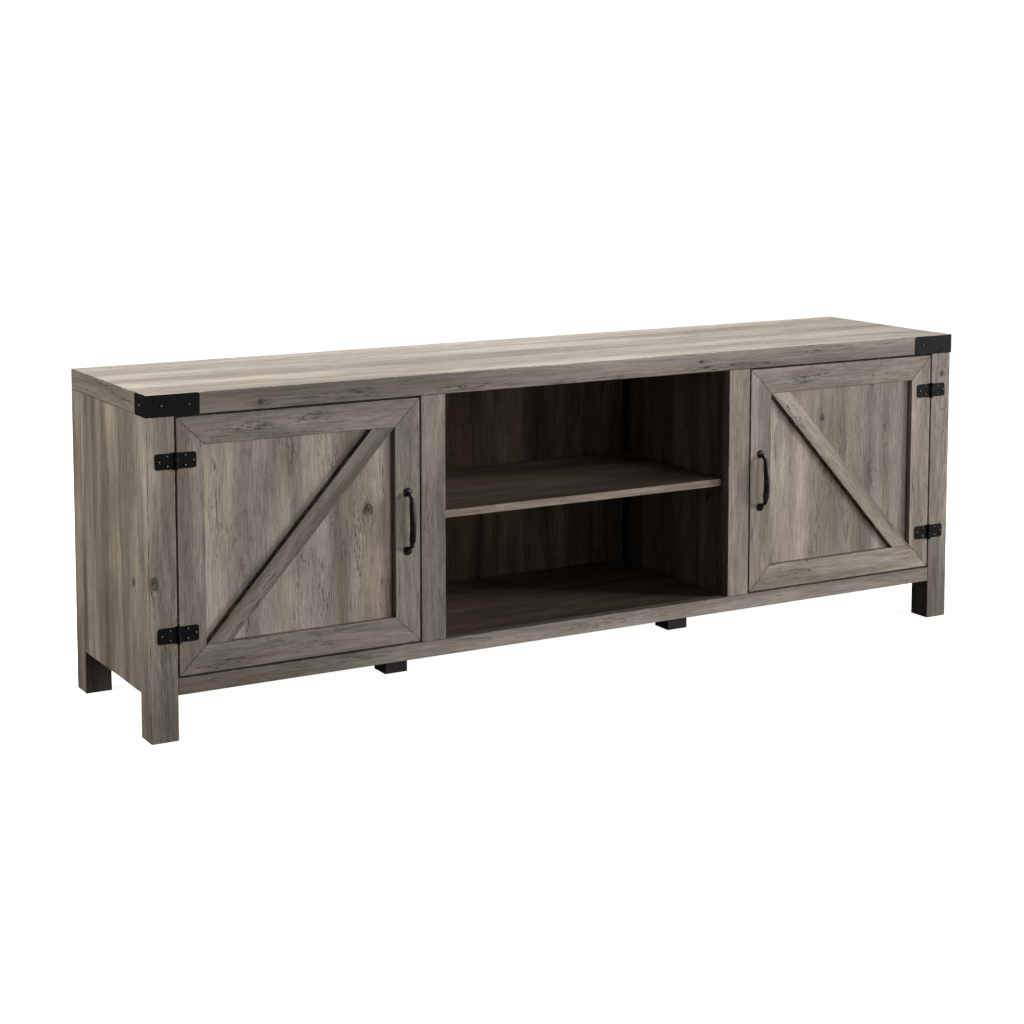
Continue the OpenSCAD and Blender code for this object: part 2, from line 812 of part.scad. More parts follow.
// Bowed pull: a thick grip, tapered to two slanted necks, each on a round foot.
module handle() {
  reach = handle_out - grip_r;
  end_y = reach - grip_bow;
  end_z = grip_length / 2;
  bow_r = (end_z * end_z + grip_bow * grip_bow) / (2 * grip_bow);
  bow_angle = asin(end_z / bow_r);
  tip_y = end_y - grip_taper * sin(bow_angle);
  tip_z = end_z + grip_taper * cos(bow_angle);
  tip_r = neck_r + 0.8;
  neck_z = handle_span / 2 - tip_z;
  neck_y = tip_y - button_flat;
  neck_length = sqrt(neck_z * neck_z + neck_y * neck_y);
  color(black_iron) difference() {
    union() {
      handle_bolt_axes() {
        cylinder(r = button_r, h = button_flat);
        translate([0, 0, button_flat - eps]) dome(button_r - 0.5, button_dome);
      }
      translate([handle_x, front_y, handle_z]) {
        for (s = [0, 1])
          mirror([0, 0, s]) {
            translate([0, -button_flat, handle_span / 2]) rotate([atan2(neck_y, -neck_z), 0, 0])
              cylinder(r = neck_r, h = neck_length);
            translate([0, -tip_y, tip_z]) sphere(tip_r);
            translate([0, -end_y, end_z]) rotate([-bow_angle, 0, 0]) translate([0, 0, -1])
              cylinder(r1 = grip_r - 0.15, r2 = tip_r - 0.15, h = grip_taper + 1);
          }
        translate([0, bow_r - reach, 0]) rotate([90, 0, -90]) rotate([0, 0, -bow_angle])
          rotate_extrude(angle = 2 * bow_angle) translate([bow_r, 0]) circle(grip_r);
      }
    }
    handle_bolt_axes() translate([0, 0, -1])
      cylinder(r = bolt_r + bolt_thread_clear, h = bolt_grip + 1.5);
  }
}

module handle_screws() {
  color(zinc) handle_bolt_axes() {
    translate([0, 0, -face_thick]) cylinder(r = bolt_r, h = face_thick + bolt_grip);
    translate([0, 0, -face_thick - bolt_head_h]) cylinder(r = bolt_head_r, h = bolt_head_h);
  }
}

module hinge_screws() {
  color(black_iron) place_leaf_screws(true) translate([0, 0, leaf_thick]) wood_screw();
}

module place_strike() {
  translate([catch_x, face_back, door_z1 - strike_inset]) rotate([-90, 0, 0]) children();
}

module strike_hole() {
  place_strike() translate([0, 0, -strike_spike - 1])
    cylinder(r = strike_spike_r + pilot_clear, h = strike_spike + 2);
}

// Steel disc on a spike, driven into the back of the door.
module strike() {
  color(zinc) place_strike() {
    cylinder(r = strike_r, h = strike_thick);
    translate([0, 0, -strike_spike]) cylinder(r = strike_spike_r, h = strike_spike + eps);
  }
}

top_slab();
front_leg();  // front_leg_left
mirrored(true) front_leg();  // front_leg_right
rear_leg();  // rear_leg_left
mirrored(true) rear_leg();  // rear_leg_right
side_panel();  // side_panel_left
mirrored(true) side_panel();  // side_panel_right
divider();  // divider_left
mirrored(true) divider();  // divider_right
centre_stile();  // centre_stile_left
mirrored(true) centre_stile();  // centre_stile_right
floor_board();
bottom_rail();
rear_stretcher();
back_panel_side();  // back_panel_left
back_panel_centre();
mirrored(true) back_panel_side();  // back_panel_right
back_joiners();
middle_foot();  // middle_foot_left
mirrored(true) middle_foot();  // middle_foot_right
centre_shelf();
cabinet_shelf();  // cabinet_shelf_left
mirrored(true) cabinet_shelf();  // cabinet_shelf_right
shelf_pins();
corner_bracket();  // corner_bracket_left
mirrored(true) corner_bracket();  // corner_bracket_right
leg_leaf(0);  // leg_leaf_left_top
leg_leaf(1);  // leg_leaf_left_bottom
mirrored(true) leg_leaf(0);  // leg_leaf_right_top
mirrored(true) leg_leaf(1);  // leg_leaf_right_bottom
hinge_pins();
wood_screws();
door_catches();
dowels();
cam_fittings();
panel_nails();
hinge_stile();  // left_hinge_stile
handle_stile();  // left_handle_stile
top_rail();  // left_top_rail
lower_rail();  // left_bottom_rail
door_panel();  // left_panel
brace();  // left_brace
handle();  // left_handle
handle_screws();  // left_handle_screws
door_leaf(0);  // left_leaf_top
door_leaf(1);  // left_leaf_bottom
hinge_screws();  // left_hinge_screws
strike();  // left_strike
mirrored(true) hinge_stile();  // right_hinge_stile
mirrored(true) handle_stile();  // right_handle_stile
mirrored(true) top_rail();  // right_top_rail
mirrored(true) lower_rail();  // right_bottom_rail
mirrored(true) door_panel();  // right_panel
mirrored(true) brace();  // right_brace
mirrored(true) handle();  // right_handle
mirrored(true) handle_screws();  // right_handle_screws
mirrored(true) door_leaf(0);  // right_leaf_top
mirrored(true) door_leaf(1);  // right_leaf_bottom
mirrored(true) hinge_screws();  // right_hinge_screws
mirrored(true) strike();  // right_strike
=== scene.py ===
import json
import math

import bmesh
import bpy
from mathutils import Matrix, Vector

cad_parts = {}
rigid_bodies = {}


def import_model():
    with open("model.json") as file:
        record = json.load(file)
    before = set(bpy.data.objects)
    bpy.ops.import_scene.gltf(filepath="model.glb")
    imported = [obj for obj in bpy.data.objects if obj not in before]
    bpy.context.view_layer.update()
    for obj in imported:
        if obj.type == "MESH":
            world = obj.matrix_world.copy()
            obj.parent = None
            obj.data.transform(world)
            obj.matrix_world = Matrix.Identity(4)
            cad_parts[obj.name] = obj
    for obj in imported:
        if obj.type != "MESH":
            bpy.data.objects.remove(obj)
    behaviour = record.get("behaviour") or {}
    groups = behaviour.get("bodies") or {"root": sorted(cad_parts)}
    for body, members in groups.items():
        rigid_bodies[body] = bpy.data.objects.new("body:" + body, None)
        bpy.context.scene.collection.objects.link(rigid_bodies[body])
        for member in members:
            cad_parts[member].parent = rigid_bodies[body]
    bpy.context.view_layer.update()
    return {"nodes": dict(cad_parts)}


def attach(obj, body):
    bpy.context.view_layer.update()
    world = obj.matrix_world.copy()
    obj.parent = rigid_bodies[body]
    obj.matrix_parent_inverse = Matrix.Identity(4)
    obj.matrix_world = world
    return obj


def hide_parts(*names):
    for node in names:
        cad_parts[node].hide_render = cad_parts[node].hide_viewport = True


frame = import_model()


# ---- The four legs -------------------------------------------------------------------------------
# Square posts of particle board, wrapped in a printed grey-wash oak foil with its grain upright.
# They run from the floor to the underside of the top, and everything else hangs between them.
class Wire:
    """A value that runs through a finish, so that sums on it read as plain sums."""

    def __init__(self, finish, socket):
        self.finish = finish
        self.socket = socket

    def sum(self, way, first, second):
        return self.finish.sum_of(way, first, second)

    def __add__(self, other):
        return self.sum("ADD", self, other)

    def __radd__(self, other):
        return self.sum("ADD", other, self)

    def __sub__(self, other):
        return self.sum("SUBTRACT", self, other)

    def __rsub__(self, other):
        return self.sum("SUBTRACT", other, self)

    def __mul__(self, other):
        return self.sum("MULTIPLY", self, other)

    def __rmul__(self, other):
        return self.sum("MULTIPLY", other, self)

    def __truediv__(self, other):
        return self.sum("DIVIDE", self, other)

    def __pow__(self, other):
        return self.sum("POWER", self, other)

    def __abs__(self):
        return self.sum("ABSOLUTE", self, 0.0)


class Finish:
    """A finish in the making: its material, its surface and the pattern that feeds it."""

    def __init__(self, name, **surface):
        self.material = bpy.data.materials.new(name)
        self.material.use_nodes = True
        self.tree = self.material.node_tree
        self.surface = self.tree.nodes["Principled BSDF"]
        self.paint(**surface)

    def paint(self, **surface):
        """Feeds the surface's own sockets, with an underline for each space in a name."""
        for socket, value in surface.items():
            self.feed(self.surface.inputs[socket.replace("_", " ")], value)

    def feed(self, socket, value):
        if isinstance(value, Wire):
            self.tree.links.new(value.socket, socket)
        else:
            socket.default_value = value

    def node(self, kind, settings=None, sockets=None, out=0):
        made = self.tree.nodes.new(kind)
        for key, value in (settings or {}).items():
            setattr(made, key, value)
        for key, value in (sockets or {}).items():
            self.feed(made.inputs[key], value)
        return Wire(self, made.outputs[out])

    def sum_of(self, way, first, second):
        """Any sum that has no sign of its own, such as the larger of two values."""
        return self.node("ShaderNodeMath", {"operation": way}, {0: first, 1: second})

    def parts(self, vector):
        """The X, Y and Z of a vector."""
        split = self.node("ShaderNodeSeparateXYZ", None, {0: vector}).socket.node
        return [Wire(self, socket) for socket in split.outputs]

    def place(self):
        """Where a point lies on the piece."""
        return self.parts(self.node("ShaderNodeTexCoord", out="Object"))

    def facing(self):
        """How far the surface faces along each axis."""
        return self.parts(self.node("ShaderNodeTexCoord", out="Normal"))

    def cloud(self, point, stretch, seed, detail=2.0, rough=0.5):
        """Soft noise, stretched along each axis by so many waves a metre."""
        spots = [p * s + seed * shift for p, s, shift in zip(point, stretch, (1.0, 1.7, 2.3))]
        at = self.node("ShaderNodeCombineXYZ", None, dict(enumerate(spots)))
        grain = {"Vector": at, "Scale": 1.0, "Detail": detail, "Roughness": rough}
        return self.node("ShaderNodeTexNoise", None, grain)

    def ease(self, value, low, high):
        """0 below low, 1 above high and a smooth slope between."""
        settings = {"interpolation_type": "SMOOTHSTEP"}
        return self.node("ShaderNodeMapRange", settings, {0: value, 1: low, 2: high})

    def blend(self, share, first, second):
        """One colour turning into another as share goes from 0 to 1."""
        first, second = [c if isinstance(c, Wire) else (*c, 1.0) for c in (first, second)]
        return self.node("ShaderNodeMix", {"data_type": "RGBA"}, {0: share, 6: first, 7: second}, 2)

    def shade(self, colour, level):
        """A colour made darker or lighter."""
        return self.node("ShaderNodeVectorMath", {"operation": "SCALE"}, {0: colour, "Scale": level})

    def relief(self, height, depth):
        """Raises the surface by height times depth, in metres."""
        bump = {"Height": height, "Distance": depth, "Strength": 1.0}
        self.paint(Normal=self.node("ShaderNodeBump", None, bump))


def grey_oak(name, lean, seed, level=1.0, depth=1.0, pull=1.0, knots=(), smears=(), shade_and_tone_patches=(),
             warmth=0.8, bounce_warmth=0.0, speckle=0.6, figured=1.0, saw=0.0, end_bands=False,
             painted_edge_light=0.0, darker_near_floor=False, bare_back=False):
    """Grey-wash oak foil. The grain leans by so many degrees from level, in the front's plane.

    A knot is a centre and a radius. A smear is a centre, a length along the grain and a width, and a
    tone patch has a lift of tone as well; on some pieces the tone patches are painted shade and
    painted light. Sizes are in metres, and centres are X, Y and Z on the shut
    stand. On an end band the centre's X and Y change places.
    """
    old_grey = (0.300, 0.259, 0.206)
    young_grey = (0.425, 0.376, 0.312)
    old_brown = (0.300, 0.243, 0.178)
    young_brown = (0.438, 0.366, 0.280)
    silver = (0.360, 0.330, 0.296)
    bounce_brown = (0.370, 0.285, 0.200)
    lime = (0.50, 0.46, 0.40)
    rubbed = (0.50, 0.45, 0.39)
    old_fibreboard = (0.150, 0.092, 0.050)
    young_fibreboard = (0.235, 0.152, 0.088)
    skin_depth = 0.0004

    oak = Finish(name, Specular_IOR_Level=0.32)
    x, y, z = oak.place()
    facing = oak.facing()
    turn = math.radians(lean)
    run = x * math.cos(turn) + z * math.sin(turn)
    side = z * math.cos(turn) - x * math.sin(turn)
    deep = y
    nx, ny, nz = [abs(n) for n in facing]
    if end_bands:
        # On the ends, the foil's grain follows the end and not the length.
        on_end = oak.sum_of("GREATER_THAN", nx, 0.7)
        run, side, deep = [a + (b - a) * on_end for a, b in ((run, y), (side, z), (deep, x))]

    # Grain lines bend a little along the board and part round each knot.
    swirl = oak.cloud((run, side, deep), (2.0, 8.0, 8.0), seed, 1.0)
    side = side + (swirl - 0.5) * 0.03
    knot_core = 0.0
    knot_rim = 0.0
    knot_rings = 0.0
    knot_smear = 0.0
    for (kx, ky, kz), size in knots:
        along = run - (kx * math.cos(turn) + kz * math.sin(turn))
        across = side - (kz * math.cos(turn) - kx * math.sin(turn))
        through = deep - ky
        wobble = oak.cloud((along, across, through), (60.0, 90.0, 90.0), seed + size, 3.0, 0.7)
        far = (along * along / 1.7 + across * across + through * through) ** 0.5 / size
        near = 1 - oak.ease(far, 0.0, 6.0)
        side = side - across * near * near * 0.8
        far = far * (0.35 + wobble * 1.3)
        knot_core = knot_core + (1 - oak.ease(far, 0.3, 1.1)) * oak.ease(wobble, 0.30, 0.50)
        crack = 1 - oak.ease(abs(far - 1.0), 0.05, 0.35)
        knot_rim = knot_rim + crack * oak.ease(wobble, 0.35, 0.55)
        rings = oak.ease(oak.sum_of("SINE", far * 7.0 + wobble * 6.0, 0.0), 0.2, 1.0)
        knot_rings = knot_rings + near * rings
        tail = (along * along / 16 + across * across + through * through) ** 0.5 / size
        knot_smear = knot_smear + (1 - oak.ease(tail, 0.6, 2.2))
    grain = (run * pull, side, deep)

    # Broad soft bands of mixed age, cloudy along their length, over a fine straight grain.
    broad = oak.ease(oak.cloud(grain, (1.3, 10.0, 10.0), seed + 3.1, 1.0), 0.36, 0.64)
    band = oak.ease(oak.cloud(grain, (2.2, 24.0, 24.0), seed + 7.7, 1.5, 0.5), 0.36, 0.64)
    cloudy = oak.ease(oak.cloud(grain, (9.0, 46.0, 46.0), seed + 9.3, 2.0, 0.6), 0.30, 0.70)
    accent = oak.ease(oak.cloud(grain, (2.0, 34.0, 34.0), seed + 10.9, 2.0), 0.56, 0.72)
    warm = oak.ease(oak.cloud(grain, (1.2, 15.0, 15.0), seed + 12.9, 1.0), 0.40, 0.62)
    cool = oak.ease(oak.cloud(grain, (1.7, 21.0, 21.0), seed + 15.1, 1.0), 0.50, 0.68)
    streak = oak.ease(oak.cloud(grain, (9.0, 120.0, 120.0), seed + 17.3, 5.0, 0.7), 0.30, 0.70)
    fibre = oak.ease(oak.cloud(grain, (20.0, 270.0, 270.0), seed + 23.9, 5.0, 0.8), 0.32, 0.68)
    wave = oak.cloud(grain, (2.4, 13.0, 13.0), seed + 29.3, 2.0, 0.6)
    figure = oak.ease(oak.sum_of("SINE", (side + deep) * 180.0 + wave * 75.0, 0.0), 0.2, 1.0)
    grey = oak.blend(broad, old_grey, young_grey)
    brown = oak.blend(broad, old_brown, young_brown)
    colour = oak.blend(warm * warmth, grey, brown)
    colour = oak.blend(cool * 0.4, colour, silver)
    if bounce_warmth:
        # Boards inside are tinted browner: painted warm bounce light.
        colour = oak.blend(bounce_warmth, colour, bounce_brown)
    tone = 0.97 + (band - 0.5) * (0.36 * depth) + (broad - 0.5) * (0.30 * (depth - 1))
    tone = tone * (1 - accent * (min(0.22 * depth, 0.5) * figured))
    tone = tone * (0.92 + cloudy * 0.16)
    tone = tone * (1 + (streak - 0.5) * (0.24 * figured))
    tone = tone * (0.77 + fibre * 0.46)
    tone = tone * (1 - figure * (1 - band * 0.6) * (0.10 * figured))

    # Weather marks: short dark dashes in patches, thin checks, and pale wash left in the pores.
    patch = oak.ease(oak.cloud(grain, (5.5, 18.0, 18.0), seed + 31.7, 2.0), 0.53, 0.66)
    dash = oak.ease(oak.cloud(grain, (95.0, 400.0, 400.0), seed + 37.1, 3.0, 0.75), 0.53, 0.64)
    smudge = oak.ease(oak.cloud(grain, (30.0, 190.0, 190.0), seed + 39.7, 3.0, 0.7), 0.50, 0.66)

    def spot(centre, length, width):
        """A soft patch that is longer along the grain than across it."""
        along = (run - (centre[0] * math.cos(turn) + centre[2] * math.sin(turn))) / length
        across = (side - (centre[2] * math.cos(turn) - centre[0] * math.sin(turn))) / width
        through = (deep - centre[1]) / width
        return 1 - oak.ease(along * along + across * across + through * through, 0.1, 1.0)

    for centre, length, width in smears:
        patch = oak.sum_of("MAXIMUM", patch, spot(centre, length, width) * 1.6)
    for centre, length, width, lift in shade_and_tone_patches:
        tone = tone * (1 + spot(centre, length, width) * lift)
    patch = oak.sum_of("MAXIMUM", patch, knot_smear)
    pore = oak.ease(oak.cloud(grain, (45.0, 330.0, 330.0), seed + 40.3, 2.0, 0.6), 0.58, 0.68)
    dash = (dash * 0.7 + smudge * 0.5) * patch * speckle + pore * 0.30
    line = oak.cloud(grain, (5.0, 90.0, 90.0), seed + 41.9, 2.0)
    rare = oak.ease(oak.cloud(grain, (7.0, 28.0, 28.0), seed + 47.3, 1.0), 0.62, 0.68)
    check = (1 - oak.ease(abs(line - 0.5), 0.003, 0.014)) * rare
    wash = oak.ease(oak.cloud(grain, (9.0, 70.0, 70.0), seed + 53.1, 3.0, 0.6), 0.52, 0.75)
    tone = tone * (1 - dash * 0.72) * (1 - check * 0.55)
    if saw:
        # Faint cross marks, as a coarse band saw leaves them.
        stroke = oak.cloud(grain, (420.0, 24.0, 24.0), seed + 59.3, 1.0)
        where = oak.ease(oak.cloud(grain, (5.0, 9.0, 9.0), seed + 61.9, 1.0), 0.5, 0.62)
        tone = tone * (1 - oak.ease(stroke, 0.55, 0.68) * where * saw)
    if knots:
        tone = tone * (1 - knot_core * 0.85) * (1 - knot_rim * 0.7) * (1 - knot_rings * 0.16)
    colour = oak.blend(wash * 0.25, colour, lime)

    # Arrises rub pale where hands and cloths pass, and the rest of them are painted darker: painted
    # shade along the arrises.
    edge = oak.ease(1 - oak.sum_of("MAXIMUM", nx, oak.sum_of("MAXIMUM", ny, nz)), 0.02, 0.16)
    wear_and_highlight = oak.ease(oak.cloud((x, y, z), (60.0, 60.0, 60.0), seed + 67.7, 3.0, 0.6), 0.5, 0.6)
    colour = oak.blend(edge * wear_and_highlight * 0.35, colour, rubbed)
    tone = tone * (1 - edge * (1 - wear_and_highlight) * 0.6) * level
    if painted_edge_light:
        # Faces that look to the front or back are painted lighter: painted light on a board's front
        # edge.
        tone = tone * (1 + ny * painted_edge_light)
    if darker_near_floor:
        # The last hand's breadth above the floor is darker.
        tone = tone * (0.52 + oak.ease(z, 0.02, 0.26) * 0.48)
    colour = oak.shade(colour, tone)
    rough = 0.58 + streak * 0.10 + dash * 0.15 - edge * wear_and_highlight * 0.1
    height = streak * 0.25 + fibre * 0.3 - figure * 0.08 - dash * 0.6 - check * 0.8
    if knots:
        height = height - knot_rim * 0.6 - knot_rings * 0.2
    if bare_back:
        # The hidden face of a back panel is bare pressed fibre.
        bare = oak.sum_of("GREATER_THAN", facing[1], 0.5)
        fluff = oak.cloud((x, y, z), (170.0, 170.0, 170.0), seed + 71.3, 4.0, 0.7)
        blotch = oak.cloud((x, y, z), (9.0, 9.0, 9.0), seed + 73.9, 2.0)
        fibreboard = oak.blend(oak.ease(fluff, 0.3, 0.7), old_fibreboard, young_fibreboard)
        fibreboard = oak.shade(fibreboard, 0.8 + blotch * 0.4)
        colour = oak.blend(bare, colour, fibreboard)
        rough = rough + bare * 0.2
        height = height + (fluff - height) * bare
    oak.paint(Base_Color=colour, Roughness=rough)
    oak.relief(height, skin_depth)
    return oak.material


def eased(node, name, finish, arris, body="cabinet"):
    """The piece as the frame has it, with its long arrises rounded over."""
    same_point = 0.00001
    no_length = 0.000001
    same_plane = 0.01
    corner = 0.6
    crease = 0.7
    shortest = 5 * arris
    blank = bmesh.new()
    blank.from_mesh(frame["nodes"][node].data)
    bmesh.ops.remove_doubles(blank, verts=blank.verts, dist=same_point)
    bmesh.ops.dissolve_limit(blank, angle_limit=same_plane, verts=blank.verts, edges=blank.edges)
    sharp = [e for e in blank.edges
             if e.calc_length() > shortest and e.calc_face_angle(0.0) > corner and e.is_convex]
    bmesh.ops.bevel(blank, geom=sharp, offset=arris, segments=3, profile=0.5, affect="EDGES",
                    clamp_overlap=True)
    bmesh.ops.dissolve_degenerate(blank, edges=blank.edges, dist=no_length)
    for face in blank.faces:
        face.smooth = True
    for edge in blank.edges:
        edge.smooth = edge.calc_face_angle(0.0) < crease
    mesh = bpy.data.meshes.new(name)
    blank.to_mesh(mesh)
    blank.free()
    piece = bpy.data.objects.new(name, mesh)
    bpy.context.scene.collection.objects.link(piece)
    piece.data.materials.append(finish)
    flats = piece.modifiers.new("flats", "WEIGHTED_NORMAL")
    flats.keep_sharp = True
    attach(piece, body)
    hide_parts(node)
    return piece


UPRIGHT = 90
FACE = -0.186
FOIL_ARRIS = 0.0012
legs = {
    "front_leg_left": (2.0, 1.20, [((-0.876, FACE, 0.280), 0.008)]),
    "front_leg_right": (5.0, 1.13, [((0.866, FACE, 0.522), 0.005)]),
    "rear_leg_left": (8.0, 1.10, []),
    "rear_leg_right": (11.0, 1.10, []),
}
for leg, (seed, level, knots) in legs.items():
    finish = grey_oak("oak_" + leg, UPRIGHT, seed, level, knots=knots, speckle=0.8, darker_near_floor=True)
    eased(leg, "foiled_" + leg, finish, FOIL_ARRIS)


# ---- Side panels ---------------------------------------------------------------------------------
# Foiled boards let in flush between a front and a rear leg on dowels. Rows of shelf-pin holes are
# bored into their inner faces.
END = 0.889
PANEL_ARRIS = 0.0008
for panel, seed, knots in (("side_panel_left", 14.0, [((-END, -0.110, 0.270), 0.006)]),
                           ("side_panel_right", 17.0, [((END, 0.060, 0.400), 0.007)])):
    finish = grey_oak("oak_" + panel, UPRIGHT, seed, depth=1.5, warmth=0.6, speckle=0.8,
                      knots=knots, shade_and_tone_patches=[((-END, -0.02, 0.130), 0.16, 0.25, -0.22)])
    eased(panel, "foiled_" + panel, finish, PANEL_ARRIS)


# ---- Floor board, dividers, stretcher and bottom rail --------------------------------------------
# The floor board ties both ends together. The dividers stand on it, the stretcher runs under the
# top at the rear, and the bottom rail covers the floor board's front edge.
LENGTHWISE = 0
FLOOR_ARRIS = 0.0006
# The floor board is set darker and tinted browner: painted shade and painted warm bounce light
# inside the bay.
finish = grey_oak("oak_floor_board", LENGTHWISE, seed=20.0, level=0.80, bounce_warmth=0.6)
eased("floor_board", "foiled_floor_board", finish, FLOOR_ARRIS)
# The dividers are set darker and tinted browner: painted shade and painted warm bounce light inside
# the bay.
for divider, seed, knots in (("divider_left", 23.0, []),
                             ("divider_right", 26.0, [((0.318, -0.115, 0.300), 0.007)])):
    finish = grey_oak("oak_" + divider, UPRIGHT, seed, level=0.76, depth=1.6, bounce_warmth=0.6,
                      knots=knots)
    eased(divider, "foiled_" + divider, finish, PANEL_ARRIS)
finish = grey_oak("oak_rear_stretcher", LENGTHWISE, seed=29.0)
eased("rear_stretcher", "foiled_rear_stretcher", finish, PANEL_ARRIS)
finish = grey_oak("oak_bottom_rail", LENGTHWISE, seed=32.0, level=0.84,
                  smears=[((-0.470, FACE, 0.100), 0.060, 0.010),
                          ((0.050, FACE, 0.098), 0.20, 0.012)],
                  # The tone patch darkens the rail towards its left end: painted shade.
                  shade_and_tone_patches=[((-0.760, FACE, 0.095), 0.40, 0.200, -0.28)])
eased("bottom_rail", "foiled_bottom_rail", finish, FOIL_ARRIS)


# ---- Face stiles ---------------------------------------------------------------------------------
# Uprights that cover the dividers' front edges, and that the doors close beside.
for stile, seed in (("centre_stile_left", 35.0), ("centre_stile_right", 38.0)):
    finish = grey_oak("oak_" + stile, UPRIGHT, seed)
    eased(stile, "foiled_" + stile, finish, FOIL_ARRIS)


# ---- Back panels and their joiners ---------------------------------------------------------------
# Thin fibreboard, printed on the side that shows inside, nailed into a rebate and joined behind
# the dividers by dark extruded strips. The outer two have a round-ended port for cables.
BACK_ARRIS = 0.0005
# The printed side is tinted browner: painted warm bounce light.
for panel, seed in (("back_panel_left", 41.0), ("back_panel_centre", 44.0),
                    ("back_panel_right", 47.0)):
    finish = grey_oak("print_" + panel, UPRIGHT, seed, level=1.30, depth=1.7, bounce_warmth=0.6,
                      bare_back=True)
    eased(panel, "nailed_" + panel, finish, BACK_ARRIS)


def moulded_plastic(name, colour, rough):
    """Extruded or moulded plastic: an even colour with a fine orange-peel skin."""
    plastic = Finish(name, Specular_IOR_Level=0.4)
    at = plastic.place()
    peel = plastic.cloud(at, (900.0, 900.0, 900.0), 1.0, 2.0)
    scuff = plastic.ease(plastic.cloud(at, (60.0, 60.0, 14.0), 4.0, 3.0, 0.6), 0.45, 0.7)
    base = plastic.blend(scuff * 0.4, colour, [c * 1.8 + 0.01 for c in colour])
    plastic.paint(Base_Color=base, Roughness=rough + scuff * 0.15)
    plastic.relief(peel, 0.00008)
    return plastic.material


STRIP_ARRIS = 0.0003
dark_plastic = moulded_plastic("dark_strip", (0.022, 0.020, 0.019), rough=0.42)
eased("back_joiners", "strip_joiners", dark_plastic, STRIP_ARRIS)


# ---- Nails, dowels and cam fittings --------------------------------------------------------------
# What holds the case together: bright nails in the back panels, beech dowels, and zinc cams that
# grip the bolts of the boards that meet them.
def bright_zinc(name, tint, rough):
    """Zinc plate on steel: pale, faintly mottled, with fine turning marks."""
    zinc = Finish(name, Specular_IOR_Level=0.5)
    at = zinc.place()
    bloom = zinc.ease(zinc.cloud(at, (240.0, 240.0, 240.0), 2.0, 3.0, 0.6), 0.35, 0.7)
    marks = zinc.cloud(at, (1800.0, 1800.0, 300.0), 6.0, 2.0)
    base = zinc.blend(bloom, tint, [c * 0.72 for c in tint])
    zinc.paint(Base_Color=base, Metallic=0.92 - bloom * 0.12, Roughness=rough + bloom * 0.16)
    zinc.relief(marks, 0.00005)
    return zinc.material


def refinish(node, material):
    """Gives a piece of the frame its finish."""
    slots = frame["nodes"][node].material_slots
    for slot in slots:
        slot.material = material
    if not slots:
        frame["nodes"][node].data.materials.append(material)


zinc_plate = bright_zinc("zinc_plate", (0.62, 0.62, 0.60), rough=0.30)
for node in ("panel_nails", "cam_fittings", "shelf_pins"):
    refinish(node, zinc_plate)

beech = Finish("beech_dowel", Specular_IOR_Level=0.3)
at = beech.place()
flute = beech.cloud(at, (300.0, 300.0, 300.0), 5.0, 3.0, 0.6)
fleck = beech.ease(beech.cloud(at, (90.0, 700.0, 700.0), 9.0, 2.0), 0.55, 0.7)
wood = beech.blend(beech.ease(flute, 0.3, 0.7), (0.52, 0.36, 0.21), (0.66, 0.49, 0.31))
wood = beech.blend(fleck * 0.5, wood, (0.34, 0.21, 0.11))
beech.paint(Base_Color=wood, Roughness=0.55 + flute * 0.2)
beech.relief(flute, 0.0002)
refinish("dowels", beech.material)


# ---- Middle feet ---------------------------------------------------------------------------------
# Square blocks under the dividers, stained nearly black so that they don't show.
FOOT_ARRIS = 0.0015
stain = Finish("black_stain", Specular_IOR_Level=0.3)
at = stain.place()
open_grain = stain.cloud(at, (260.0, 260.0, 6.0), 3.0, 4.0, 0.65)
worn = stain.ease(stain.cloud(at, (70.0, 70.0, 40.0), 8.0, 3.0, 0.6), 0.58, 0.72)
base = stain.blend(stain.ease(open_grain, 0.35, 0.65), (0.010, 0.007, 0.006), (0.030, 0.021, 0.017))
base = stain.blend(worn * 0.25, base, (0.10, 0.07, 0.05))
stain.paint(Base_Color=base, Roughness=0.5 + open_grain * 0.25)
stain.relief(open_grain, 0.0003)
for foot in ("middle_foot_left", "middle_foot_right"):
    eased(foot, "stained_" + foot, stain.material, FOOT_ARRIS)


# ---- Top -----------------------------------------------------------------------------------------
# A thick foiled slab with its grain along its length and a band on each end. It sits on the legs
# and its front face is flush with theirs.
TOP_ARRIS = 0.0015
finish = grey_oak("oak_top_slab", LENGTHWISE, seed=50.0, level=0.90, depth=0.75, pull=0.5,
                  warmth=0.35, speckle=0.8, end_bands=True,
                  knots=[((-0.680, FACE, 0.578), 0.005), ((0.250, FACE, 0.590), 0.003)],
                  smears=[((-0.520, FACE, 0.580), 0.110, 0.012),
                          ((-0.250, FACE, 0.576), 0.13, 0.008),
                          ((0.020, FACE, 0.572), 0.16, 0.008),
                          ((0.330, FACE, 0.575), 0.20, 0.009),
                          ((0.560, FACE, 0.592), 0.12, 0.010),
                          ((0.060, -END, 0.594), 0.13, 0.010),
                          ((-0.060, -END, 0.582), 0.07, 0.010),
                          ((-0.050, END, 0.586), 0.10, 0.010)],
                  # The tone patches paint the front edge darker at the left and lighter at the
                  # right: painted shade and painted light.
                  shade_and_tone_patches=[((-0.450, FACE, 0.585), 0.50, 0.03, -0.28),
                          ((0.700, FACE, 0.585), 0.30, 0.03, 0.12)])
eased("top_slab", "foiled_top_slab", finish, TOP_ARRIS)


# ---- Shelves -------------------------------------------------------------------------------------
# Loose foiled boards on steel pins: one across the open bay and one behind each door.
SHELF_ARRIS = 0.001
# The shelves are set darker and tinted browner, with their front and back edges painted lighter:
# painted shade, painted warm bounce light and painted light on the front edge.
for shelf, seed in (("centre_shelf", 53.0), ("cabinet_shelf_left", 56.0),
                    ("cabinet_shelf_right", 59.0)):
    finish = grey_oak("oak_" + shelf, LENGTHWISE, seed, level=0.76, bounce_warmth=0.5, painted_edge_light=0.6)
    eased(shelf, "foiled_" + shelf, finish, SHELF_ARRIS)


